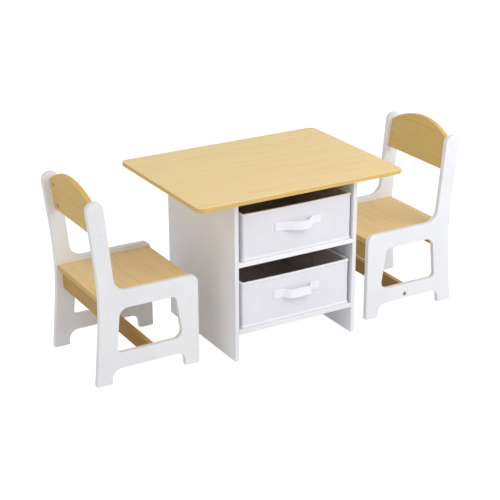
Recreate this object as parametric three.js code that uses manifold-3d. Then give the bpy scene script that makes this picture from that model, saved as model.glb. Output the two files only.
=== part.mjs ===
// A children's table with two fabric storage bins under it, and two chairs that face it.
// Millimetres, +Z up. The origin is on the floor under the middle of the table: +X runs along the
// table top, and the bins are pulled out towards -Y. Chair a stands at -X and chair b at +X.
import * as THREE from "three";
import { mergeVertices } from "three/addons/utils/BufferGeometryUtils.js";
import Module from "manifold-3d";

const wasm = await Module();
wasm.setup();

// ---------------------------------------------------------------- driving dimensions
const GAP = 0.3; // between pieces that touch
const TABLE_BOARD = 12; // thickness of the table's boards
const CHAIR_BOARD = 15; // thickness of the chairs' boards
const EASE = 1.5; // rounding of the long board edges

const TOP = { length: 630, depth: 462, corner: 20, height: 470 };
const BASE = { width: 382, depth: 380, ease: 1 };
const SHELF = { middleTop: 281, bottomTop: 89 };
const BACK_PANEL = 5; // thickness of the board that closes the back of the table
const DOWEL = { radius: 3, length: 22, inTop: 8, fromEnd: 60 };

const BIN = { width: 342, depth: 350, height: 132, wall: 3, corner: 6, setBack: 5 };
const BIN_X = { upper: 5.4, lower: 2.6 }; // each bin stands a little off the middle of its shelf
const BIN_BOARD = { thickness: 2.5, clearance: 2 };
const HANDLE = {
  length: 148,
  width: 26,
  thickness: 2,
  patch: 26, // the sewn end
  bulge: 15, // how far the loop stands off the bin
  bend: 2, // width of the bend beside a sewn end
  belowRim: 54, // to the middle of the strap
};

const CHAIR_WIDTH = 294;
const CHAIR_A = { rearFootX: -572.2, y: 6.4 };
const CHAIR_B = { rearFootX: 559.2, y: -1.3 };
const SEAT = { rear: 20, front: 293, top: 241 };
const APRON = { bottom: 171, rear: 33, front: 282 };
const STRETCHER = { middle: 164.5, bottom: 40, height: 42 };
const BACKREST = { rear: 22.5, bottom: 402, lean: 8, endHeight: 85, middleHeight: 126 };

const BOLT = { shank: 3, length: 43, head: 5.5, headThickness: 3, socket: 2.3, socketDepth: 2 };
const SCREW = { shank: 2.5, length: 48, head: 5.8, headThickness: 3, socket: 2, socketDepth: 2 };
const CHAMFER = { head: 0.6, tip: 1 }; // of a bolt's or a screw's two ends
const HEAD_DEPTH = 0.6; // a head lies this far under the panel's face
const NUT = { radius: 5, length: 13, fromEnd: 26, slot: 1.2 };
const BACKREST_BOLTS = { lower: 17, upper: 78 }; // height above the backrest's lower edge
const APRON_SCREW_Z = 190;
const STRETCHER_SCREW_Z = 54;

// The chair's side panel seen from its right: [forward of the rear foot, height, corner radius].
const PANEL_OUTLINE = [
  [-1.5, 0, 3],
  [43.5, 0, 3],
  [45, 40, 26],
  [254.5, 40.5, 24],
  [256.5, 0, 3],
  [298.5, 0, 3],
  [298, 255.5, 21],
  [61, 255.5, 39],
  [37.5, 505, 22],
  [-10.5, 505, 22],
  [20, 240, 1000],
];
const PANEL_WINDOW = [
  [60, 84, 13],
  [251.5, 84, 23],
  [232, 207, 14],
  [72, 207, 25],
];

// Sides of a round piece, sides of a hole or a thin pin, and steps of each kind of curve.
const SIDES = { round: 16, thin: 12, socket: 6 };
const STEPS = { edge: 3, binCorner: 4, panelCorner: 5, topCorner: 6, strap: 8, backrestArch: 14 };

// ---------------------------------------------------------------- materials
const material = (colour, roughness, metalness = 0) =>
  new THREE.MeshStandardMaterial({ color: colour, roughness, metalness });

const MAPLE_TOP = () => material(0xe9cf96, 0.45);
const MAPLE = () => material(0xc8a56e, 0.5);
const WHITE = () => material(0xe8ebf0, 0.4);
const HARDBOARD = () => material(0xd9d6d0, 0.7);
const FABRIC = () => material(0xe4e3e9, 0.95);
const WEBBING = () => material(0xdcdbe2, 0.9);
const FIBREBOARD = () => material(0xb9b2a6, 0.85);
const STEEL = () => material(0x9a9da1, 0.35, 1);
const BEECH = () => material(0xcfae7c, 0.6);

// ---------------------------------------------------------------- solids
const solidOf = (geometry) => {
  const plain = new THREE.BufferGeometry();
  const source = geometry.index ? geometry.toNonIndexed() : geometry;
  plain.setAttribute("position", source.getAttribute("position"));
  const merged = mergeVertices(plain, 1e-3);
  return new wasm.Manifold(
    new wasm.Mesh({
      numProp: 3,
      vertProperties: merged.attributes.position.array,
      triVerts: new Uint32Array(merged.index.array),
    }),
  );
};

const geometryOf = (solid) => {
  const { vertProperties, triVerts } = solid.getMesh();
  const indexed = new THREE.BufferGeometry();
  indexed.setAttribute("position", new THREE.BufferAttribute(vertProperties, 3));
  indexed.setIndex(new THREE.BufferAttribute(triVerts, 1));
  const geometry = indexed.toNonIndexed();
  geometry.computeVertexNormals();
  return geometry;
};

const cut = (geometry, cutters) =>
  geometryOf(cutters.reduce((solid, cutter) => solid.subtract(solidOf(cutter)), solidOf(geometry)));

// A closed outline through corners [x, y, radius], each rounded by an arc.
const outline = (corners, Kind = THREE.Shape) => {
  const path = new Kind();
  const at = (i) => new THREE.Vector2(...corners[(i + corners.length) % corners.length]);
  corners.forEach(([, , radius], i) => {
    const corner = at(i);
    const toLast = at(i - 1).sub(corner).normalize();
    const toNext = at(i + 1).sub(corner).normalize();
    const half = Math.acos(toLast.dot(toNext)) / 2;
    const middle = toLast.clone().add(toNext).normalize();
    const centre = corner.clone().addScaledVector(middle, radius / Math.sin(half));
    const start = corner.clone().addScaledVector(toLast, radius / Math.tan(half)).sub(centre);
    const end = corner.clone().addScaledVector(toNext, radius / Math.tan(half)).sub(centre);
    const clockwise = start.cross(end) < 0;
    path.absarc(centre.x, centre.y, radius, start.angle(), end.angle(), clockwise);
  });
  path.closePath();
  return path;
};

const rectangle = (width, height, radius) =>
  outline([
    [-width / 2, -height / 2, radius],
    [width / 2, -height / 2, radius],
    [width / 2, height / 2, radius],
    [-width / 2, height / 2, radius],
  ]);

// A board cut to a shape, centred on its own thickness along Z, all its edges rounded.
const easedBoard = (shape, thickness, ease, curveSegments) =>
  new THREE.ExtrudeGeometry(shape, {
    depth: thickness - 2 * ease,
    bevelThickness: ease,
    bevelSize: ease,
    bevelOffset: -ease,
    bevelSegments: 2,
    curveSegments,
  }).translate(0, 0, ease - thickness / 2);

// A bar with a constant section in its XY plane, centred along Z, its ends cut square.
const bar = (section, length, curveSegments = STEPS.edge) => {
  const options = { depth: length, bevelEnabled: false, curveSegments };
  return new THREE.ExtrudeGeometry(section, options).translate(0, 0, -length / 2);
};

// The three ways that a straight board lies: its length is along X, Y or Z.
const boardAlongX = (length, depth, height, ease) =>
  bar(rectangle(height, depth, ease), length).rotateY(Math.PI / 2);
const boardAlongY = (length, width, height, ease) =>
  bar(rectangle(width, height, ease), length).rotateX(Math.PI / 2);
const boardAlongZ = (length, width, depth, ease) => bar(rectangle(width, depth, ease), length);

const cylinder = (radius, length, sides = SIDES.round) =>
  new THREE.CylinderGeometry(radius, radius, length, sides);

const mesh = (name, geometry, look, x = 0, y = 0, z = 0) => {
  const made = new THREE.Mesh(geometry, look);
  made.name = name;
  made.position.set(x, y, z);
  return made;
};

// ---------------------------------------------------------------- table
const underTop = TOP.height - TABLE_BOARD;
const sideHeight = underTop - GAP;
const innerWidth = BASE.width - 2 * TABLE_BOARD;
const sideX = (BASE.width - TABLE_BOARD) / 2;
const dowelY = BASE.depth / 2 - DOWEL.fromEnd;

const tableTop = () => {
  const shape = rectangle(TOP.length, TOP.depth, TOP.corner);
  const board = easedBoard(shape, TABLE_BOARD, EASE, STEPS.topCorner);
  const holeDepth = DOWEL.inTop + GAP;
  const holes = [-sideX, sideX].flatMap((x) =>
    [-dowelY, dowelY].map((y) =>
      cylinder(DOWEL.radius + GAP, 2 * holeDepth, SIDES.thin)
        .rotateX(Math.PI / 2)
        .translate(x, y, -TABLE_BOARD / 2),
    ),
  );
  return mesh("table_top", cut(board, holes), MAPLE_TOP(), 0, 0, TOP.height - TABLE_BOARD / 2);
};

const tableSide = (name, x) => {
  const board = boardAlongZ(sideHeight, TABLE_BOARD, BASE.depth, BASE.ease);
  const holeDepth = DOWEL.length - DOWEL.inTop + GAP;
  const holes = [-dowelY, dowelY].map((y) =>
    cylinder(DOWEL.radius + GAP, 2 * holeDepth, SIDES.thin)
      .rotateX(Math.PI / 2)
      .translate(0, y, sideHeight / 2),
  );
  return mesh(name, cut(board, holes), WHITE(), x, 0, sideHeight / 2);
};

const shelf = (name, top) => {
  const depth = BASE.depth - BACK_PANEL - GAP;
  const board = boardAlongX(innerWidth - 2 * GAP, depth, TABLE_BOARD, BASE.ease);
  return mesh(name, board, WHITE(), 0, (depth - BASE.depth) / 2, top - TABLE_BOARD / 2);
};

const backPanel = () => {
  const bottom = SHELF.bottomTop - TABLE_BOARD;
  const height = sideHeight - bottom;
  const board = new THREE.BoxGeometry(innerWidth - 2 * GAP, BACK_PANEL, height);
  return mesh("back_panel", board, HARDBOARD(), 0, (BASE.depth - BACK_PANEL) / 2, bottom + height / 2);
};

const dowel = (name, x, y) => {
  const pin = cylinder(DOWEL.radius, DOWEL.length, SIDES.thin).rotateX(Math.PI / 2);
  return mesh(name, pin, BEECH(), x, y, underTop + DOWEL.inTop - DOWEL.length / 2);
};

const table = () => {
  const group = new THREE.Group();
  group.add(tableTop());
  group.add(tableSide("side_panel_left", -sideX), tableSide("side_panel_right", sideX));
  group.add(shelf("middle_shelf", SHELF.middleTop), shelf("bottom_shelf", SHELF.bottomTop));
  group.add(backPanel());
  for (const [side, x] of Object.entries({ left: -sideX, right: sideX }))
    for (const [end, y] of Object.entries({ front: -dowelY, back: dowelY }))
      group.add(dowel(`dowel_${side}_${end}`, x, y));
  return group;
};

// ---------------------------------------------------------------- fabric bins
const binShell = () => {
  const { width, depth, height, wall, corner } = BIN;
  const outer = bar(rectangle(width, depth, corner), height, STEPS.binCorner).translate(0, 0, height / 2);
  const hollow = rectangle(width - 2 * wall, depth - 2 * wall, corner - wall);
  const inner = bar(hollow, height, STEPS.binCorner);
  return cut(outer, [inner.translate(0, 0, height / 2 + wall)]);
};

const binBoard = () => {
  const inset = 2 * (BIN.wall + BIN_BOARD.clearance);
  return bar(rectangle(BIN.width - inset, BIN.depth - inset, BIN.corner - BIN.wall), BIN_BOARD.thickness);
};

// The strap seen from above: flat sewn ends against the bin, and a loop that rises steeply beside
// them and stands off it.
const handle = () => {
  const { length, width, thickness, patch, bulge, bend } = HANDLE;
  const end = length / 2;
  const loopEnd = end - patch;
  const outerEnd = loopEnd + bend / 2;
  const rise = loopEnd - bend;
  const inside = thickness - bulge;
  const section = new THREE.Shape();
  section.moveTo(-end, 0);
  section.lineTo(-loopEnd, 0);
  section.bezierCurveTo(-rise, 0, -rise, inside, 0, inside);
  section.bezierCurveTo(rise, inside, rise, 0, loopEnd, 0);
  section.lineTo(end, 0);
  section.lineTo(end, -thickness);
  section.lineTo(outerEnd, -thickness);
  section.bezierCurveTo(loopEnd, -thickness, loopEnd, -bulge, 0, -bulge);
  section.bezierCurveTo(-loopEnd, -bulge, -loopEnd, -thickness, -outerEnd, -thickness);
  section.lineTo(-end, -thickness);
  section.closePath();
  return bar(section, width, STEPS.strap);
};

const bin = (name, x, floor) => {
  const group = new THREE.Group();
  const front = -BASE.depth / 2 + BIN.setBack;
  const boardZ = BIN.wall + GAP + BIN_BOARD.thickness / 2;
  const handleZ = BIN.height - HANDLE.belowRim;
  group.add(mesh(`${name}_fabric`, binShell(), FABRIC()));
  group.add(mesh(`${name}_base_board`, binBoard(), FIBREBOARD(), 0, 0, boardZ));
  group.add(mesh(`${name}_handle`, handle(), WEBBING(), 0, -BIN.depth / 2 - GAP, handleZ));
  group.position.set(x, front + BIN.depth / 2, floor + GAP);
  return group;
};

// ---------------------------------------------------------------- chairs
// In a chair's own frame +X is forward, +Y is the sitter's left and the origin lies between the
// rear feet, on the floor.
const railLength = CHAIR_WIDTH - 2 * (CHAIR_BOARD + GAP);
const panelY = (CHAIR_WIDTH - CHAIR_BOARD) / 2;
const lean = THREE.MathUtils.degToRad(BACKREST.lean);

// A point of the leaning backrest: `into` its thickness from the rear face, `up` from its lower edge.
const onBackrest = (into, up) => ({
  x: BACKREST.rear + into * Math.cos(lean) - up * Math.sin(lean),
  z: BACKREST.bottom + into * Math.sin(lean) + up * Math.cos(lean),
});

const railScrews = {
  front_apron: { x: APRON.front - CHAIR_BOARD / 2, z: APRON_SCREW_Z },
  rear_apron: { x: APRON.rear + CHAIR_BOARD / 2, z: APRON_SCREW_Z },
  stretcher: { x: STRETCHER.middle, z: STRETCHER_SCREW_Z },
};
const backrestBolts = {
  lower: onBackrest(CHAIR_BOARD / 2, BACKREST_BOLTS.lower),
  upper: onBackrest(CHAIR_BOARD / 2, BACKREST_BOLTS.upper),
};

// The hole for a bolt that enters at y = 0 and points along -Y, with the counterbore for its head.
const boltHole = ({ shank, length, head, headThickness }) => {
  const sunk = HEAD_DEPTH + headThickness + GAP;
  return [
    cylinder(shank + GAP, length + 2 * GAP, SIDES.thin).translate(0, -HEAD_DEPTH - length / 2, 0),
    cylinder(head + GAP, 2 * sunk),
  ];
};

// The bolt for that hole: `length` is measured over the head, as a countersunk bolt's is.
const bolt = ({ shank, length, head, headThickness, socket, socketDepth }) => {
  const profile = [
    [0, 0],
    [head - CHAMFER.head, 0],
    [head, -CHAMFER.head],
    [head, -headThickness],
    [shank, -headThickness],
    [shank, CHAMFER.tip - length],
    [shank - CHAMFER.tip, -length],
    [0, -length],
  ].map(([radius, y]) => new THREE.Vector2(radius, y));
  const turned = new THREE.LatheGeometry(profile.reverse(), SIDES.round);
  return cut(turned, [cylinder(socket, 2 * socketDepth, SIDES.socket)]).translate(0, -HEAD_DEPTH, 0);
};

// Holes at these places for bolts or screws that come in from both sides of the chair.
const sideHoles = (kind, places) =>
  Object.values(places).flatMap(({ x, z }) =>
    boltHole(kind).flatMap((hole) => [
      hole.clone().translate(x, CHAIR_WIDTH / 2, z),
      hole.clone().rotateZ(Math.PI).translate(x, -CHAIR_WIDTH / 2, z),
    ]),
  );

const sidePanel = (name, side) => {
  const shape = outline(PANEL_OUTLINE);
  shape.holes.push(outline([...PANEL_WINDOW].reverse(), THREE.Path));
  const board = easedBoard(shape, CHAIR_BOARD, EASE, STEPS.panelCorner).rotateX(Math.PI / 2);
  const holes = [...sideHoles(SCREW, railScrews), ...sideHoles(BOLT, backrestBolts)];
  return mesh(name, cut(board.translate(0, side * panelY, 0), holes), WHITE());
};

const seat = (name) => {
  const board = boardAlongY(railLength, SEAT.front - SEAT.rear, CHAIR_BOARD, EASE);
  return mesh(name, board, MAPLE(), (SEAT.front + SEAT.rear) / 2, 0, SEAT.top - CHAIR_BOARD / 2);
};

const apron = (name, screw) => {
  const height = SEAT.top - CHAIR_BOARD - GAP - APRON.bottom;
  const board = boardAlongY(railLength, CHAIR_BOARD, height, EASE);
  board.translate(screw.x, 0, APRON.bottom + height / 2);
  return mesh(name, cut(board, sideHoles(SCREW, { screw })), MAPLE());
};

const stretcher = (name) => {
  const board = boardAlongY(railLength, CHAIR_BOARD, STRETCHER.height, EASE);
  board.translate(STRETCHER.middle, 0, STRETCHER.bottom + STRETCHER.height / 2);
  return mesh(name, cut(board, sideHoles(SCREW, { screw: railScrews.stretcher })), MAPLE());
};

// Barrel nuts cross the bolts at these distances from the middle of the backrest.
const nutY = railLength / 2 - NUT.fromEnd;

const leaning = (geometry, into, y, up) => {
  const { x, z } = onBackrest(into, up);
  return geometry.rotateY(-lean).translate(x, y, z);
};

const backrest = (name) => {
  const { endHeight, middleHeight } = BACKREST;
  const half = railLength / 2;
  const rise = middleHeight - endHeight;
  const radius = (half * half + rise * rise) / (2 * rise);
  const sweep = Math.asin(half / radius);
  const shape = new THREE.Shape();
  shape.moveTo(-half, 0);
  shape.lineTo(half, 0);
  shape.absarc(0, middleHeight - radius, radius, Math.PI / 2 - sweep, Math.PI / 2 + sweep);
  shape.closePath();
  const flat = easedBoard(shape, CHAIR_BOARD, EASE, STEPS.backrestArch).rotateX(Math.PI / 2);
  const board = leaning(flat.rotateZ(Math.PI / 2), CHAIR_BOARD / 2, 0, 0);
  const pockets = Object.values(BACKREST_BOLTS).flatMap((up) =>
    [-nutY, nutY].map((y) => {
      const pocket = cylinder(NUT.radius + GAP, 2 * (NUT.length + 2 * GAP)).rotateZ(Math.PI / 2);
      return leaning(pocket, 0, y, up);
    }),
  );
  return mesh(name, cut(board, [...sideHoles(BOLT, backrestBolts), ...pockets]), MAPLE());
};

// A barrel nut in its pocket: a cross hole for the bolt, and a screwdriver slot in its outer end.
const barrelNut = (name, y, up) => {
  const middle = GAP + NUT.length / 2;
  const barrel = cylinder(NUT.radius, NUT.length).rotateZ(Math.PI / 2);
  const crossHole = cylinder(BOLT.shank + GAP, 3 * NUT.radius, SIDES.thin);
  const slot = new THREE.BoxGeometry(2 * NUT.slot, 3 * NUT.radius, NUT.slot);
  const offset = CHAIR_BOARD / 2 - middle;
  const nut = cut(barrel, [crossHole.translate(offset, 0, 0), slot.translate(-NUT.length / 2, 0, 0)]);
  return mesh(name, leaning(nut, middle, y, up), STEEL());
};

const chair = (name) => {
  const group = new THREE.Group();
  const sides = { left: 1, right: -1 };
  for (const [side, sign] of Object.entries(sides)) {
    const turn = sign > 0 ? 0 : Math.PI;
    const fastener = (part, kind, { x, z }) =>
      mesh(`${name}_${part}_${side}`, bolt(kind).rotateZ(turn), STEEL(), x, (sign * CHAIR_WIDTH) / 2, z);
    group.add(sidePanel(`${name}_${side}_panel`, sign));
    for (const [rail, place] of Object.entries(railScrews))
      group.add(fastener(`${rail}_screw`, SCREW, place));
    for (const [level, place] of Object.entries(backrestBolts)) {
      group.add(fastener(`backrest_bolt_${level}`, BOLT, place));
      group.add(barrelNut(`${name}_barrel_nut_${level}_${side}`, sign * nutY, BACKREST_BOLTS[level]));
    }
  }
  group.add(seat(`${name}_seat`));
  group.add(apron(`${name}_front_apron`, railScrews.front_apron));
  group.add(apron(`${name}_rear_apron`, railScrews.rear_apron));
  group.add(stretcher(`${name}_stretcher`));
  group.add(backrest(`${name}_backrest`));
  return group;
};

// ---------------------------------------------------------------- the whole set
const set = new THREE.Group();
set.add(table());
set.add(bin("upper_bin", BIN_X.upper, SHELF.middleTop));
set.add(bin("lower_bin", BIN_X.lower, SHELF.bottomTop));

const chairA = chair("chair_a");
chairA.position.set(CHAIR_A.rearFootX, CHAIR_A.y, 0);
const chairB = chair("chair_b");
chairB.position.set(CHAIR_B.rearFootX, CHAIR_B.y, 0);
chairB.rotation.z = Math.PI;
set.add(chairA, chairB);

export default set;
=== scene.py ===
"""A children's table with two fabric bins under it, and two chairs that face it."""
import math

import bpy
import numpy as np
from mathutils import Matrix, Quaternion, Vector, noise


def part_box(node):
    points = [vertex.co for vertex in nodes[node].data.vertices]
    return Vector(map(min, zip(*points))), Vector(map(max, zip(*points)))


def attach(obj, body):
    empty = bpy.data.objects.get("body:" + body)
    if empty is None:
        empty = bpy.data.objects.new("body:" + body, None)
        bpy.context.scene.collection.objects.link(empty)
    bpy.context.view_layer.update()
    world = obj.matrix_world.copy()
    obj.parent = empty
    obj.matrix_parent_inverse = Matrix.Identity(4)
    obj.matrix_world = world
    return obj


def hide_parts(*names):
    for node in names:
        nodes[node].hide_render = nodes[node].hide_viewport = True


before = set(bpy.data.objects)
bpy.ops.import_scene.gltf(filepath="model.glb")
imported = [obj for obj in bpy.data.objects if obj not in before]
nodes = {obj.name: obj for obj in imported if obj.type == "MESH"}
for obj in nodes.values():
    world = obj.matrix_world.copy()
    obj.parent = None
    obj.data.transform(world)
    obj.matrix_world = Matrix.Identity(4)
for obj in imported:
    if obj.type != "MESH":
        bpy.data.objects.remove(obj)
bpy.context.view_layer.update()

MM = 0.001
CHAIRS = ("chair_a", "chair_b")
BINS = ("upper_bin", "lower_bin")


def feed(socket, value):
    """Links a socket to another node's output, or sets it to a plain value."""
    if isinstance(value, bpy.types.NodeSocket):
        socket.id_data.links.new(value, socket)
    else:
        socket.default_value = value


# ---------------------------------------------------------------- camera, floor and light
# The camera stands where the straight edges in the photo say that it stood. Its lens and sensor are in mm,
# its angles in degrees, and its target and distance in metres.
CAMERA = {
    "azimuth": -30.12,
    "elevation": 21.83,
    "roll": -0.22,
    "target": (-0.0261, 0.0156, 0.2191),
    "distance": 3.8426,
    "lens": 98.9,
    "sensor": 36,
}
# Two square softboxes: the direction that they stand in, how far off and how wide, in metres, and the power
# in watts.
SOFTBOXES = {
    "key": dict(azimuth=37, elevation=36, distance=2.5, size=1.8, power=26.5, colour=(0.98, 0.99, 1.0)),
    "fill": dict(azimuth=-60, elevation=35, distance=4.0, size=2.8, power=21, colour=(1.0, 0.97, 0.92)),
}
SOFTBOX_TARGET = (0, 0, 0.25)
SKY_LEVEL = 0.61  # the even light from all round, where 1 is white
FLOOR_HALF = 20  # half the width of the floor, in metres


def turned(azimuth, elevation):
    """The direction from the object to a place seen at that azimuth and elevation, in degrees."""
    a, e = math.radians(azimuth), math.radians(elevation)
    return Vector((math.sin(a) * math.cos(e), -math.cos(a) * math.cos(e), math.sin(e)))


def stand(thing, target, back, distance, roll=0.0):
    """Puts a camera or a light at that distance from the target, and turns it to face the target."""
    thing.location = Vector(target) + back * distance
    thing.rotation_mode = "QUATERNION"
    upright = (-back).to_track_quat("-Z", "Y")
    thing.rotation_quaternion = upright @ Quaternion((0, 0, 1), math.radians(roll))
    bpy.context.scene.collection.objects.link(thing)


def make_camera():
    camera = bpy.data.objects.new("camera", bpy.data.cameras.new("camera"))
    camera.data.lens = CAMERA["lens"]
    camera.data.sensor_width = CAMERA["sensor"]
    camera.data.clip_start, camera.data.clip_end = 0.1, 100
    back = turned(CAMERA["azimuth"], CAMERA["elevation"])
    stand(camera, CAMERA["target"], back, CAMERA["distance"], CAMERA["roll"])
    bpy.context.scene.camera = camera


def add_softbox(name, azimuth, elevation, distance, size, power, colour):
    lamp = bpy.data.lights.new(name, "AREA")
    lamp.shape, lamp.size, lamp.energy, lamp.color = "SQUARE", size, power, colour
    stand(bpy.data.objects.new(name, lamp), SOFTBOX_TARGET, turned(azimuth, elevation), distance)


def make_sky():
    """Even light from all round. The camera itself sees white where the floor ends."""
    world = bpy.data.worlds.new("studio")
    world.use_nodes = True
    tree = world.node_tree
    seen = tree.nodes.new("ShaderNodeLightPath").outputs["Is Camera Ray"]
    sky = tree.nodes.new("ShaderNodeMix")
    sky.data_type = "RGBA"
    for index, value in ((0, seen), (6, (SKY_LEVEL, SKY_LEVEL, SKY_LEVEL, 1)), (7, (1, 1, 1, 1))):
        feed(sky.inputs[index], value)
    feed(tree.nodes["Background"].inputs["Color"], sky.outputs[2])
    bpy.context.scene.world = world


def make_floor(name, height, grey, glow, seen):
    """A wide level floor that the camera sees, or else one that only throws back light."""
    signs = ((-1, -1), (1, -1), (1, 1), (-1, 1))
    mesh = bpy.data.meshes.new(name)
    mesh.from_pydata([(x * FLOOR_HALF, y * FLOOR_HALF, height) for x, y in signs], [], [(0, 1, 2, 3)])
    floor = bpy.data.objects.new(name, mesh)
    bpy.context.scene.collection.objects.link(floor)
    paint = Graph(f"{name}_paint")
    mesh.materials.append(paint.finish(colour=(grey, grey, grey, 1), roughness=1.0, glow=glow))
    floor.visible_camera = seen
    floor.visible_diffuse = floor.visible_glossy = floor.visible_shadow = not seen


def make_studio():
    """The floor that the camera sees glows, so that the shadows on it stay faint. The one that throws back
    light hardly glows, so that it is darker under the furniture."""
    bpy.context.scene.view_settings.view_transform = "Standard"
    make_sky()
    make_floor("floor", height=-0.5 * MM, grey=0.5, glow=0.82, seen=True)
    make_floor("bounce_floor", height=-1.0 * MM, grey=0.75, glow=0.12, seen=False)
    for name, softbox in SOFTBOXES.items():
        add_softbox(name, **softbox)


# ---------------------------------------------------------------- material graphs
class Graph:
    """The node tree of one new material. Patterns are read in the object's own coordinates, in metres."""

    def __init__(self, name):
        self.material = bpy.data.materials.new(name)
        self.material.use_nodes = True
        self.tree = self.material.node_tree
        self.shader = self.tree.nodes["Principled BSDF"]
        coordinates = self.add("ShaderNodeTexCoord")
        self.place, self.normal = coordinates.outputs["Object"], coordinates.outputs["Normal"]

    def add(self, kind, inputs=(), **settings):
        node = self.tree.nodes.new(kind)
        for key, value in settings.items():
            setattr(node, key, value)
        for key, value in dict(inputs).items():
            feed(node.inputs[key], value)
        return node

    def scaled(self, x, y, z, shift=0):
        """The place, scaled along each axis, and moved so that patterns of one scale don't line up."""
        mapping = self.add("ShaderNodeMapping", {"Vector": self.place, "Scale": (x, y, z)})
        mapping.inputs["Location"].default_value = (shift, 1.7 * shift, 2.3 * shift)
        return mapping.outputs["Vector"]

    def cloud(self, vector, scale=1.0, detail=2.0, roughness=0.5, distortion=0.0):
        inputs = {"Vector": vector, "Scale": scale, "Detail": detail, "Roughness": roughness,
                  "Distortion": distortion}
        return self.add("ShaderNodeTexNoise", inputs).outputs["Fac"]

    def between(self, value, low, high, to_low=0.0, to_high=1.0):
        """value taken smoothly from low..high to to_low..to_high."""
        inputs = {"Value": value, "From Min": low, "From Max": high, "To Min": to_low, "To Max": to_high}
        return self.add("ShaderNodeMapRange", inputs, interpolation_type="SMOOTHSTEP").outputs["Result"]

    def work_out(self, operation, *values):
        return self.add("ShaderNodeMath", enumerate(values), operation=operation).outputs["Value"]

    def sum(self, a, b):
        return self.work_out("ADD", a, b)

    def times(self, a, b):
        return self.work_out("MULTIPLY", a, b)

    def size_along(self, axis):
        """How far the surface faces along an axis, from 0 to 1."""
        parts = self.add("ShaderNodeSeparateXYZ", {"Vector": self.normal})
        return self.work_out("ABSOLUTE", parts.outputs[axis])

    def mixed(self, share, a, b):
        return self.add("ShaderNodeMix", {0: share, 6: a, 7: b}, data_type="RGBA").outputs[2]

    def darker(self, colour, by):
        """colour times a grey level that a socket gives."""
        grey = self.add("ShaderNodeCombineColor", {"Red": by, "Green": by, "Blue": by})
        inputs = {0: 1.0, 6: colour, 7: grey.outputs["Color"]}
        return self.add("ShaderNodeMix", inputs, data_type="RGBA", blend_type="MULTIPLY").outputs[2]

    def finish(self, colour, roughness, height=None, depth=0.0, glow=0.0, **fixed):
        """Feeds the shader. height, from 0 to 1, is a relief of that depth in metres, and fixed holds plain
        values for other sockets."""
        for key, value in {"Base Color": colour, "Roughness": roughness, **fixed}.items():
            feed(self.shader.inputs[key], value)
        if height is not None:
            bump = self.add("ShaderNodeBump", {"Height": height, "Strength": 1.0, "Distance": depth})
            feed(self.shader.inputs["Normal"], bump.outputs["Normal"])
        if glow:
            self.shader.inputs["Emission Color"].default_value = (1, 1, 1, 1)
            self.shader.inputs["Emission Strength"].default_value = glow
        return self.material


def linear(levels):
    """A shader colour from three sRGB levels of 0 to 255."""
    shares = [level / 255 for level in levels]
    return (*(c / 12.92 if c <= 0.04045 else ((c + 0.055) / 1.055) ** 2.4 for c in shares), 1)


# ---------------------------------------------------------------- materials
# Colours are sRGB levels. Each look has two, which its pattern mixes.
# Maple: the axis that its grain runs along, the axis that its faces look along, the two colours, and the
# colour of its narrow edges.
MAPLES = {
    "table_top_maple": ("X", "Z", (251, 224, 166), (241, 207, 144), (223, 187, 109)),
    # The chair's four maples are one wood, darkened step by step as painted shade: the seat a little, the
    # backrest more, and most the apron and stretcher, which lie in shade under the seat. The seat's, apron's
    # and stretcher's edge colours hold painted shade too.
    "seat_maple": ("Y", "Z", (241, 211, 153), (229, 191, 131), (211, 174, 103)),
    "backrest_maple": ("Y", "X", (220, 188, 115), (208, 172, 100), (223, 187, 109)),
    "apron_maple": ("Y", "X", (192, 154, 88), (175, 136, 70), (206, 164, 88)),
    "stretcher_maple": ("Y", "X", (171, 131, 56), (155, 114, 42), (203, 160, 84)),
}
# The parts of the grain: their length along it and width across it, in mm, and the shift of the pattern.
GRAIN = {
    "bands": (500, 45, 0),
    "streaks": (140, 7, 5),
    "lines": (70, 2.4, 11),
    "threads": (50, 0.9, 7),
    "flecks": (18, 1.8, 9),
}
FLECK = (176, 126, 86)
WHITES = {
    "white_board": ((240, 241, 244), (235, 236, 240)),
    # The middle shelf's white is lighter than the boards' as painted light, to lift the shelf that the table
    # top shades.
    "shelf_white_painted_light": ((250, 250, 252), (246, 246, 249)),
    "cap_plastic": ((238, 239, 242), (233, 234, 238)),
}
# Cloth: the two colours, the thread pitch and the relief's depth in mm, and the sheen.
CLOTHS = {
    "bin_fabric": ((236, 235, 242), (232, 231, 238), 1.2, 0.02, 0.2),
    # The lining's warm tint is painted light: it stands in for the brown light that the maple above throws
    # into the bins.
    "bin_lining": ((212, 199, 192), (202, 189, 182), 1.2, 0.03, 0.1),
    "bin_tape": ((246, 246, 251), (242, 242, 247), 1.0, 0.04, 0.2),
    "handle_webbing": ((245, 245, 254), (240, 240, 250), 1.2, 0.05, 0.2),
    "thread": ((246, 246, 250), (232, 232, 238), 0.5, 0.05, 0.2),
}
# How long and how thick the slubs of a cloth are, in mm.
SLUB = {"upright": (70, 2.8), "level": (60, 2.6)}
HARDBOARD = ((226, 224, 220), (212, 209, 204))
BEECH = ((214, 178, 126), (190, 148, 98))
BEECH_RAY = (140, 98, 60)
ZINC = ((174, 174, 173), (128, 128, 127))


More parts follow.
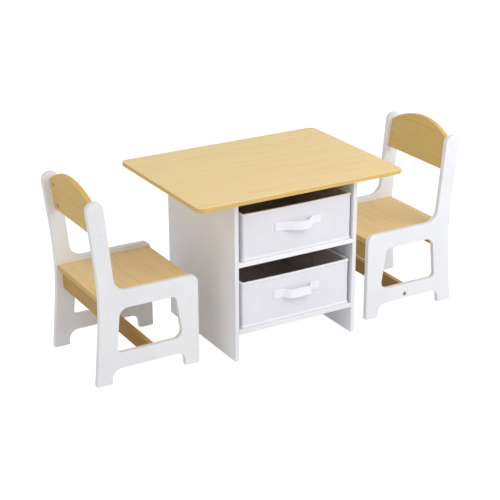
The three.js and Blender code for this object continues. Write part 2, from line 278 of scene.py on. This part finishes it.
def maple(name, grain, face, light, dark, band):
    """Maple foil on a board, with a more golden band of fine lines on its narrow edges."""
    g = Graph(name)

    def fibres(part):
        length, width, shift = GRAIN[part]
        return g.scaled(*(1 / ((length if axis == grain else width) * MM) for axis in "XYZ"), shift)

    bands = g.cloud(fibres("bands"))
    streaks = g.cloud(fibres("streaks"), detail=3, roughness=0.6, distortion=0.3)
    lines = g.cloud(fibres("lines"), detail=3, roughness=0.6)
    threads = g.cloud(fibres("threads"))
    flecks = g.between(g.cloud(fibres("flecks"), detail=1), 0.62, 0.76)
    figure = g.sum(g.times(g.between(streaks, 0.46, 0.7), 0.6), g.times(g.between(lines, 0.48, 0.72), 0.3))
    tone = g.sum(g.times(g.between(bands, 0.3, 0.7), 0.25), figure)
    face_colour = g.mixed(tone, linear(light), linear(dark))
    face_colour = g.mixed(g.times(flecks, 0.12), face_colour, linear(FLECK))
    face_colour = g.darker(face_colour, g.between(threads, 0.3, 0.7, 0.985, 1.015))
    edge_colour = g.darker(linear(band), g.between(lines, 0.3, 0.7, 0.95, 1.04))
    on_face = g.between(g.size_along(face), 0.45, 0.8)
    colour = g.mixed(on_face, edge_colour, face_colour)
    relief = g.sum(g.times(threads, 0.5), g.times(flecks, -0.5))
    roughness = g.between(streaks, 0.2, 0.8, 0.44, 0.54)
    return g.finish(colour, roughness, relief, 0.03 * MM, **{"Specular IOR Level": 0.35})


def white_paint(name, colour, shade):
    """Satin white: a faint orange peel, soft clouds of tone, and smears that are a little duller."""
    g = Graph(name)
    peel = g.cloud(g.place, scale=420)
    clouds = g.cloud(g.place, scale=9, detail=3)
    smears = g.between(g.cloud(g.scaled(22, 22, 7, 4), detail=3), 0.52, 0.72)
    tint = g.mixed(g.between(clouds, 0.35, 0.7), linear(colour), linear(shade))
    roughness = g.sum(g.between(peel, 0.3, 0.7, 0.3, 0.36), g.times(smears, 0.1))
    return g.finish(tint, roughness, peel, 0.02 * MM, **{"Specular IOR Level": 0.5})


def cloth(name, colour, shade, pitch, depth, sheen):
    """Plain-woven cloth with thicker threads, or slubs, here and there, and a little soil."""
    g = Graph(name)
    turns = 2 * math.pi / (pitch * MM)
    axes = g.add("ShaderNodeSeparateXYZ", {"Vector": g.scaled(turns, turns, turns)})
    sines = [g.work_out("SINE", axes.outputs[axis]) for axis in "XYZ"]
    weave = g.between(g.sum(g.sum(sines[0], sines[1]), sines[2]), -2.2, 2.2)
    tall, thin = (1 / (size * MM) for size in SLUB["upright"])
    upright = g.cloud(g.scaled(thin, thin, tall, 2), detail=3, roughness=0.7)
    wide, low = (1 / (size * MM) for size in SLUB["level"])
    level = g.cloud(g.scaled(wide, wide, low, 6), detail=3, roughness=0.7)
    slub = g.sum(g.times(upright, 0.5), g.times(level, 0.5))
    soil = g.cloud(g.place, scale=14, detail=3)
    tint = g.mixed(g.between(slub, 0.38, 0.66), linear(colour), linear(shade))
    tint = g.darker(tint, g.between(soil, 0.3, 0.75, 1.0, 0.965))
    relief = g.sum(g.times(weave, 0.45), g.times(slub, 0.55))
    fixed = {"Specular IOR Level": 0.25, "Sheen Weight": sheen, "Sheen Roughness": 0.5}
    return g.finish(tint, g.between(slub, 0.3, 0.7, 0.82, 0.95), relief, depth * MM, **fixed)


def zinc(name, colour, shade):
    """Zinc-plated steel, brushed, and dulled in spots."""
    g = Graph(name)
    spots = g.cloud(g.place, scale=900, detail=3)
    brushed = g.cloud(g.scaled(300, 2600, 300))
    tint = g.mixed(g.between(spots, 0.35, 0.7), linear(colour), linear(shade))
    roughness = g.sum(g.between(spots, 0.3, 0.7, 0.24, 0.4), g.times(brushed, 0.1))
    return g.finish(tint, roughness, brushed, 0.01 * MM, **{"Metallic": 1.0})


def pressed_board(name, colour, shade):
    """Hardboard faced with pale paper: small fibres under it, and soft patches from the press."""
    g = Graph(name)
    fibres = g.cloud(g.place, scale=260, detail=4, roughness=0.7)
    patches = g.cloud(g.place, scale=11)
    share = g.between(g.sum(g.times(fibres, 0.6), g.times(patches, 0.4)), 0.35, 0.65)
    tint = g.mixed(share, linear(colour), linear(shade))
    return g.finish(tint, g.between(fibres, 0.3, 0.7, 0.55, 0.75), fibres, 0.05 * MM)


def beech(name, colour, shade):
    """Turned beech, with its short dark rays."""
    g = Graph(name)
    grain = g.cloud(g.scaled(900, 900, 60), detail=3)
    rays = g.between(g.cloud(g.scaled(1500, 1500, 300, 3), detail=1), 0.58, 0.7)
    tint = g.mixed(g.between(grain, 0.35, 0.65), linear(colour), linear(shade))
    tint = g.mixed(g.times(rays, 0.5), tint, linear(BEECH_RAY))
    return g.finish(tint, 0.6, grain, 0.05 * MM)


def make_materials():
    return {
        **{name: maple(name, *look) for name, look in MAPLES.items()},
        **{name: white_paint(name, *look) for name, look in WHITES.items()},
        **{name: cloth(name, *look) for name, look in CLOTHS.items()},
        "back_board": pressed_board("back_board", *HARDBOARD),
        "dowel_beech": beech("dowel_beech", *BEECH),
        "steel": zinc("steel", *ZINC),
    }


def dress_cad_nodes():
    """Gives each CAD node its material, and joins and rounds its facets for shading."""
    for name, piece in nodes.items():
        look = piece.material_slots[0].material.name.split(".")[0]
        # The chair's one maple is split by part, so that each part gets its colour with painted shade.
        if look == "chair_maple":
            look = f"{name.split('_')[-1]}_maple"
        # The bins' base boards take the lining, whose warm tint is painted light.
        elif look == "bin_card":
            look = "bin_lining"
        # The middle shelf takes a lighter white, which is painted light.
        elif name == "middle_shelf":
            look = "shelf_white_painted_light"
        piece.data.materials[0] = materials[look]
        rounded = piece.modifiers.new("smooth_rounded_edges", "NODES")
        rounded.node_group = smoothing
        piece.modifiers.new("flat_faces", "WEIGHTED_NORMAL").keep_sharp = True


def make_smoothing(limit, weld):
    """A node group that joins corners closer than weld, drops the CAD's own normals, and shades a mesh smooth
    but for edges sharper than limit degrees."""
    group = bpy.data.node_groups.new("smooth_rounded_edges", "GeometryNodeTree")
    for way in ("INPUT", "OUTPUT"):
        group.interface.new_socket("Geometry", in_out=way, socket_type="NodeSocketGeometry")
    start, end = group.nodes.new("NodeGroupInput"), group.nodes.new("NodeGroupOutput")
    joined = group.nodes.new("GeometryNodeMergeByDistance")
    joined.inputs["Distance"].default_value = weld
    bare = group.nodes.new("GeometryNodeRemoveAttribute")
    bare.inputs["Name"].default_value = "custom_normal"
    faces = group.nodes.new("GeometryNodeSetShadeSmooth")
    edges = group.nodes.new("GeometryNodeSetShadeSmooth")
    edges.domain = "EDGE"
    angle = group.nodes.new("GeometryNodeInputMeshEdgeAngle")
    gentle = group.nodes.new("FunctionNodeCompare")
    gentle.operation = "LESS_THAN"
    gentle.inputs["B"].default_value = math.radians(limit)
    feed(gentle.inputs["A"], angle.outputs["Unsigned Angle"])
    feed(edges.inputs["Shade Smooth"], gentle.outputs["Result"])
    chain = [start, joined, bare, faces, edges, end]
    for before, after in zip(chain, chain[1:]):
        feed(after.inputs["Geometry"], before.outputs["Geometry"])
    return group


# ---------------------------------------------------------------- mesh pieces
def add_piece(name, points, faces, body, slot, *looks):
    """A new smooth mesh piece that rides on a body. Its points are in the frame's coordinates."""
    mesh = bpy.data.meshes.new(name)
    mesh.from_pydata([tuple(p) for p in points], [], faces)
    mesh.validate()
    mesh.polygons.foreach_set("use_smooth", [True] * len(mesh.polygons))
    for look in looks:
        mesh.materials.append(materials[look])
    piece = bpy.data.objects.new(name, mesh)
    bpy.context.scene.collection.objects.link(piece)
    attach(piece, body)
    return piece


def loft(rings):
    """Points and faces of a closed skin through rings that all have as many points."""
    count = len(rings[0])
    points = [p for ring in rings for p in ring]
    faces = []
    for i in range(len(rings) - 1):
        for j in range(count):
            k = (j + 1) % count
            faces.append((i * count + j, i * count + k, (i + 1) * count + k, (i + 1) * count + j))
    faces.append(tuple(reversed(range(count))))
    faces.append(tuple(range((len(rings) - 1) * count, len(rings) * count)))
    return points, faces


def ease(t):
    """0 to 1 with a soft start and a soft end."""
    t = min(max(t, 0.0), 1.0)
    return t * t * (3 - 2 * t)


# ---------------------------------------------------------------- stitching
# sunk is how deep a stitch's underside lies in the cloth, as a share of its radius.
STITCH = {"pitch": 4.0 * MM, "length": 2.9 * MM, "radius": 0.22 * MM, "sides": 6, "sunk": 0.6}
# A stitch's thickness along it: the share of its length, and the share of its radius there.
STITCH_PROFILE = ((0.0, 0.35), (0.25, 0.95), (0.5, 1.0), (0.75, 0.95), (1.0, 0.35))


def stitch(start, end, out):
    """One stitch as a small pillow of thread, bedded in the cloth and thinner at both ends."""
    along = end - start
    side = out.cross(along).normalized()
    radius = STITCH["radius"]
    rings = []
    for t, size in STITCH_PROFILE:
        middle = start + along * t + out * radius * (size - STITCH["sunk"])
        angles = [2 * math.pi * k / STITCH["sides"] for k in range(STITCH["sides"])]
        rings.append([middle + (side * math.cos(a) + out * math.sin(a)) * radius * size for a in angles])
    return loft(rings)


def add_stitches(name, seams, body, slot):
    """Stitches along seams, each a list of (point, outward direction) pairs close together."""
    points, faces = [], []
    for seam in seams:
        places = [Vector(p) for p, _ in seam]
        lengths = [0.0]
        for a, b in zip(places, places[1:]):
            lengths.append(lengths[-1] + (b - a).length)
        outs = np.array([tuple(o) for _, o in seam])
        xyz = np.array([tuple(p) for p in places])

        def at(distance):
            place = Vector([np.interp(distance, lengths, xyz[:, k]) for k in range(3)])
            out = Vector([np.interp(distance, lengths, outs[:, k]) for k in range(3)])
            return place, out.normalized()

        count = int(lengths[-1] / STITCH["pitch"])
        for i in range(count):
            first = (i + 0.5) * lengths[-1] / count - STITCH["length"] / 2
            (start, out), (end, _) = at(first), at(first + STITCH["length"])
            more_points, more_faces = stitch(start, end, out)
            faces += [tuple(v + len(points) for v in f) for f in more_faces]
            points += more_points
    add_piece(name, points, faces, body, slot, "thread")


# ---------------------------------------------------------------- fabric bins
# The tapes round the rim and round the foot: how high they are, and how far they stand out of the wall.
HEM = {"height": 6.5 * MM, "out": 2.0 * MM}
FOOT = {"height": 7.5 * MM, "out": 2.0 * MM}
# The walls: inset is how far they stand inside the CAD solid's faces, bow how far the front and the back
# bulge, and seam how deep the groove is on a corner's seam.
WALL = {"thickness": 3.0 * MM, "inset": 2.5 * MM, "corner": 6 * MM, "bow": 1.7 * MM, "seam": 0.8 * MM}
# The side walls: the depth of the crease that they fold flat at, its width as a share of half the wall, the
# bulge of the two halves beside it, and how far the middle of the rim leans in.
SIDE = {"crease": 1.6 * MM, "crease_width": 0.018, "bulge": 0.9 * MM, "lean": 1.2 * MM}
RIM_SAG = 1.3 * MM  # how far the middle of the rim hangs, at the front and the back
# The dents: about how many there are in a metre, sideways and upwards, and how deep they are. They fade
# towards the foot and the rim over the lengths in CALM.
DENTS = {"wide": (16, 22, 0.7 * MM), "fine": (55, 48, 0.22 * MM)}
CALM = {"foot": 12 * MM, "rim": 14 * MM}
# The floor's two faces, as heights above the bin's underside.
FLOOR = {"under": 0.3 * MM, "inside": 3.1 * MM}
FOLD = 0.8 * MM  # how far the hem's tape stands in from the inside of the wall
TAPE_SEAM = 2 * MM  # from a tape's edge to its line of stitches
STEP = 5 * MM  # between the points of a wall
CLOTH, LINING, TAPE = range(3)


def perimeter(width, depth, corner):
    """Places round a rounded rectangle, counter-clockwise: (x, y, outward x, outward y, wall, along, seam).
    wall is 0 front, 1 right, 2 back or 3 left, along runs from -1 to 1 between its corners, and seam is 1 on
    a corner's seam."""
    places = []
    half_x, half_y = width / 2, depth / 2
    # Each wall's first corner, its direction, and half its length.
    walls = (
        ((-1, -1), (1, 0), half_x),
        ((1, -1), (0, 1), half_y),
        ((1, 1), (-1, 0), half_x),
        ((-1, 1), (0, -1), half_y),
    )
    for wall, ((sx, sy), (tx, ty), half) in enumerate(walls):
        out = (ty, -tx)
        straight = 2 * (half - corner)
        count = round(straight / STEP)
        for i in range(count + 1):
            move = corner + straight * i / count
            place = (sx * half_x + tx * move, sy * half_y + ty * move)
            places.append((*place, *out, wall, 2 * i / count - 1, 0))
        centre = (sx * half_x + tx * (2 * half - corner) - out[0] * corner,
                  sy * half_y + ty * (2 * half - corner) - out[1] * corner)
        for i in (1, 2, 3):
            angle = math.atan2(out[1], out[0]) + math.pi / 2 * i / 4
            way = (math.cos(angle), math.sin(angle))
            place = (centre[0] + way[0] * corner, centre[1] + way[1] * corner)
            places.append((*place, *way, wall, 1.0, int(i == 2)))
    return places


def wall_bow(wall, along, height):
    """How far a wall stands out of its plane at a place along it and a share of its height."""
    up = math.sin(math.pi * min(max(height, 0.0), 1.0))
    middle = 1 - along**2
    if wall in (0, 2):
        return WALL["bow"] * middle * (0.25 + 0.75 * up)
    crease = SIDE["crease"] * math.exp(-abs(along) / SIDE["crease_width"])
    bulge = SIDE["bulge"] * math.sin(math.pi * abs(along)) * up
    return bulge - crease - SIDE["lean"] * middle * height


def wrinkle(x, y, z, seed):
    """Soft dents of the cloth over its stiffening card: wide ones, and finer ones on them."""
    level, upright, depth = DENTS["wide"]
    wide = depth * noise.noise(Vector((x * level + seed, y * level, z * upright)))
    level, upright, depth = DENTS["fine"]
    return wide + depth * noise.noise(Vector((x * level, y * level + seed, z * upright)))


class Bin:
    """One bin's cloth, lofted from its middle underneath, up its outside, over its rim and down inside."""

    def __init__(self, name, seed):
        self.name, self.seed = name, seed
        low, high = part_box(f"{name}_fabric")
        self.middle = (low + high) / 2
        self.floor, self.height = low.z, high.z - low.z
        self.width, self.depth = high.x - low.x, high.y - low.y
        self.places = perimeter(self.width, self.depth, WALL["corner"])

    def at(self, place, inward, z):
        """A point at that distance inside the CAD solid's face, and z above the bin's underside."""
        x, y, out_x, out_y, wall, along, seam = place
        share = z / self.height
        calm = ease(z / CALM["foot"]) * ease((self.height - z) / CALM["rim"] + 0.25)
        dent = calm * wrinkle(x, y, z, self.seed)
        shift = wall_bow(wall, along, share) + dent - inward - seam * WALL["seam"]
        sag = RIM_SAG * (1 - along**2) * share**3 if wall in (0, 2) else 0.0
        x, y = self.middle.x + x + out_x * shift, self.middle.y + y + out_y * shift
        return Vector((x, y, self.floor + z - sag))

    def ring(self, inward, z):
        return [self.at(place, inward, z) for place in self.places]

    def flat(self, share, z, inward):
        """A ring of the floor, drawn in towards its middle."""
        ring = []
        for x, y, out_x, out_y, *_ in self.places:
            reach = Vector((x - out_x * inward, y - out_y * inward, 0)) * share
            ring.append(Vector((self.middle.x, self.middle.y, self.floor + z)) + reach)
        return ring

    def tape(self, low, high, inset, out):
        """Rings over a folded tape that stands out of a wall, from its lower edge to its upper one."""
        profile = ((-0.3 * MM, 0.0), (0.5 * out, 0.3 * MM), (out, 1.0 * MM))
        lower = [self.ring(inset - off, low + up) for off, up in profile]
        return lower + [self.ring(inset - off, high - up) for off, up in reversed(profile)]

    def shell(self):
        inset, top, under, low = WALL["inset"], self.height, FLOOR["under"], FLOOR["inside"]
        inner = inset + WALL["thickness"]
        hem, foot = top - HEM["height"], FOOT["height"]
        count = round((hem - foot) / STEP)
        outside = [foot + (hem - foot) * (i + 0.2) / (count + 0.4) for i in range(count + 1)]
        inside = [hem - (hem - low - 2 * MM) * i / count for i in range(count + 1)]
        rows, looks = [], []

        def add(look, rings):
            rows.extend(rings)
            looks.extend([look] * len(rings))

        add(CLOTH, [self.flat(share, under, inset) for share in (0.02, 0.35, 0.7, 0.93)])
        add(TAPE, [self.ring(inset - FOOT["out"] + 0.5 * MM, 0.0)])
        add(TAPE, self.tape(-0.5 * MM, foot, inset, FOOT["out"])[2:])
        add(CLOTH, [self.ring(inset, z) for z in outside])
        add(TAPE, self.tape(hem, top + 0.2 * MM, inset, HEM["out"])[:4])
        add(TAPE, [self.ring(inset - 0.6 * HEM["out"], top - 0.5 * MM), self.ring(inset, top)])
        add(TAPE, [self.ring(inner, top), self.ring(inner + 0.6 * FOLD, top - 0.5 * MM)])
        add(TAPE, [self.ring(inner + FOLD, top - 1.6 * MM), self.ring(inner + FOLD, hem + 1.0 * MM)])
        add(LINING, [self.ring(inner, z) for z in inside])
        add(LINING, [self.ring(inner + 0.6 * MM, low + 0.5 * MM), self.ring(inner + 1.8 * MM, low)])
        add(LINING, [self.flat(share, low, inner) for share in (0.97, 0.7, 0.35, 0.02)])
        points, faces = loft(rows)
        cloths = ("bin_fabric", "bin_lining", "bin_tape")
        piece = add_piece(f"{self.name}_cloth", points, faces, self.name, "bin_fabric", *cloths)
        for face in piece.data.polygons:
            face.material_index = looks[min(face.vertices) // len(self.places)]
        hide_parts(f"{self.name}_fabric")

    def hem_stitches(self):
        """A line of stitches round each tape, near the edge that is sewn to the wall."""
        seams = []
        hem, foot = self.height - HEM["height"] + TAPE_SEAM, FOOT["height"] - TAPE_SEAM
        for z, out in ((hem, HEM["out"]), (foot, FOOT["out"])):
            seam = [(self.at(p, WALL["inset"] - out, z), Vector((p[2], p[3], 0))) for p in self.places]
            seams.append(seam + seam[:1])
        add_stitches(f"{self.name}_hem_stitches", seams, self.name, "bin_fabric")

    def front(self, x, z):
        """The y of the front wall's outer face."""
        half = self.width / 2 - WALL["corner"]
        along = (x - self.middle.x) / half
        place = (x - self.middle.x, -self.depth / 2, 0, -1, 0, min(max(along, -1), 1), 0)
        return self.at(place, WALL["inset"], z - self.floor).y


# ---------------------------------------------------------------- strap handles
# patch is the length of a sewn end, sag how far the loop hangs, short how much shorter the strap is than the
# CAD solid at each end, and step the distance between its sections. tilt is the loop's greatest turn in
# degrees, and lean the share of it that moves the edges in and out. Over the length taper, a cut end is
# pressed to the share pressed of the thickness, and the middle of the strap has the share middle of it. gap
# is how far its back stands off the bin, and waves how far its loop bends out of true.
STRAP = {
    "patch": 26 * MM, "thickness": 1.9 * MM, "sag": 4.2 * MM, "short": 2 * MM, "step": 1 * MM, "tilt": 22,
    "lean": 0.6, "taper": 6 * MM, "pressed": 0.4, "middle": 0.78, "gap": 0.25 * MM, "waves": 0.25 * MM,
}
# The strap's seams: how far across it those along its edges and those round its sewn ends lie, where 1 is its
# edge, and how far they keep from its cut end and from the place where its loop starts.
SEAMS = {"edge": 0.82, "box": 0.7, "edge_end": 2 * MM, "box_end": 2.5 * MM, "box_start": 2 * MM}
# Over what length each end of the loop rises off its bin, at the left and at the right.
RISES = {"upper_bin": (56 * MM, 22 * MM), "lower_bin": (28 * MM, 11 * MM)}


class Strap:
    """A cloth strap: flat ends sewn to a bin's front, and a loop that stands off it and hangs a little."""

    def __init__(self, on_bin):
        self.bin = on_bin
        low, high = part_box(f"{on_bin.name}_handle")
        self.x, self.middle_z = (low.x + high.x) / 2, (low.z + high.z) / 2
        self.half, self.width = (high.x - low.x) / 2 - STRAP["short"], high.z - low.z
        self.reach = high.y - low.y - STRAP["thickness"]

    def stand_off(self, x):
        """How far off the bin the strap's loop is."""
        inner = self.half - STRAP["patch"]
        left, right = RISES[self.bin.name]
        share = ease((inner + x - self.x) / left) * ease((inner - x + self.x) / right)
        return share**0.8 * self.reach

    def at(self, x, across, through):
        """A point of the strap. across is -1 at its lower edge and 1 at its upper one, and through is 0 at
        its back and 1 at its front."""
        off, step = self.stand_off(x), STRAP["step"]
        slope = (self.stand_off(x + step) - self.stand_off(x - step)) / (2 * step)
        share = off / self.reach
        tilt = math.radians(STRAP["tilt"]) * share
        up = across * self.width / 2
        pressed, middle = STRAP["pressed"], STRAP["middle"]
        pressed += (1 - pressed) * ease((self.half - abs(x - self.x)) / STRAP["taper"])
        crossways = middle + (1 - middle) * across**2
        thick = STRAP["thickness"] * pressed * crossways * through / math.hypot(slope, 1)
        z = self.middle_z + up * math.cos(tilt) - STRAP["sag"] * share
        waves = STRAP["waves"] * share * noise.noise(Vector((x * 60, across * 2, self.bin.seed)))
        out = off - STRAP["lean"] * up * math.sin(tilt) + waves + STRAP["gap"]
        return Vector((x - slope * thick, self.bin.front(x, z) - out - thick, z))

    def section(self, x):
        """A ring round the strap, with rounded edges."""
        rows = [float(across) for across in np.linspace(-0.96, 0.96, 9)]
        back = [self.at(x, across, 0.0) for across in rows]
        front = [self.at(x, across, 1.0) for across in reversed(rows)]
        return [*back, self.at(x, 1.0, 0.5), *front, self.at(x, -1.0, 0.5)]

    def make(self):
        count = round(2 * self.half / STRAP["step"]) + 1
        xs = np.linspace(self.x - self.half, self.x + self.half, count)
        points, faces = loft([self.section(float(x)) for x in xs])
        name = f"{self.bin.name}_strap"
        piece = add_piece(name, points, faces, self.bin.name, "handle_webbing", "handle_webbing")
        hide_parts(f"{self.bin.name}_handle")
        self.stitches()

    def stitches(self):
        """A line along each edge of the strap, and a crossed box on each sewn end."""
        out = Vector((0, -1, 0))
        steps = 24

        def line(x0, a0, x1, a1):
            shares = [i / steps for i in range(steps + 1)]
            return [(self.at(x0 + (x1 - x0) * t, a0 + (a1 - a0) * t, 1.0), out) for t in shares]

        edge, box, end = SEAMS["edge"], SEAMS["box"], self.half - SEAMS["edge_end"]
        seams = [line(self.x - end, across, self.x + end, across) for across in (-edge, edge)]
        for side in (-1, 1):
            outer = self.x + side * (self.half - SEAMS["box_end"])
            inner = self.x + side * (self.half - STRAP["patch"] + SEAMS["box_start"])
            for first, last in ((outer, outer), (inner, inner), (outer, inner), (inner, outer)):
                seams.append(line(first, -box, last, box))
        add_stitches(f"{self.bin.name}_strap_stitches", seams, self.bin.name, "handle_webbing")


# ---------------------------------------------------------------- cover caps
CAP = {"radius": 6.6 * MM, "rise": 0.45 * MM, "sides": 32}
# The cap's dome from near its middle outwards: the share of its radius, and the share of its rise there.
CAP_PROFILE = ((0.15, 1.0), (0.5, 0.93), (0.8, 0.74), (0.93, 0.5), (1.0, 0.15), (1.0, 0.0))
# The bolts and screws of a chair that a cap covers. The lowest screws of chair b show their steel heads.
CAPPED = ("front_apron_screw", "rear_apron_screw", "backrest_bolt_lower", "backrest_bolt_upper")
CAPPED_TOO = {"chair_a": ("stretcher_screw",), "chair_b": ()}


def add_cap(name, centre, side, body):
    """A shallow domed cap on a chair's outer face, over a bolt's head. side is -1 or 1 along Y."""
    turn = [2 * math.pi * k / CAP["sides"] for k in range(CAP["sides"])]
    rings = []
    for share, rise in CAP_PROFILE:
        radius, y = CAP["radius"] * share, centre.y + side * CAP["rise"] * rise
        rings.append([(centre.x + radius * math.cos(a), y, centre.z + radius * math.sin(a)) for a in turn])
    points, faces = loft(rings)
    if side < 0:
        faces = [tuple(reversed(f)) for f in faces]
    add_piece(name, points, faces, body, "white_board", "cap_plastic")


def cap_bolts():
    for chair in CHAIRS:
        seat_low, seat_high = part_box(f"{chair}_seat")
        for hand in ("left", "right"):
            low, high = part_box(f"{chair}_{hand}_panel")
            side = 1 if low.y + high.y > seat_low.y + seat_high.y else -1
            for bolt in CAPPED + CAPPED_TOO[chair]:
                bolt_low, bolt_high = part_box(f"{chair}_{bolt}_{hand}")
                centre = (bolt_low + bolt_high) / 2
                centre.y = high.y if side > 0 else low.y
                add_cap(f"{chair}_{bolt}_cap_{hand}", centre, side, chair)


# ---------------------------------------------------------------- the scene
make_camera()
make_studio()
materials = make_materials()
smoothing = make_smoothing(limit=50, weld=0.02 * MM)
dress_cad_nodes()
for number, bin_name in enumerate(BINS):
    fabric_bin = Bin(bin_name, 11.0 * number)
    fabric_bin.shell()
    fabric_bin.hem_stitches()
    Strap(fabric_bin).make()
cap_bolts()
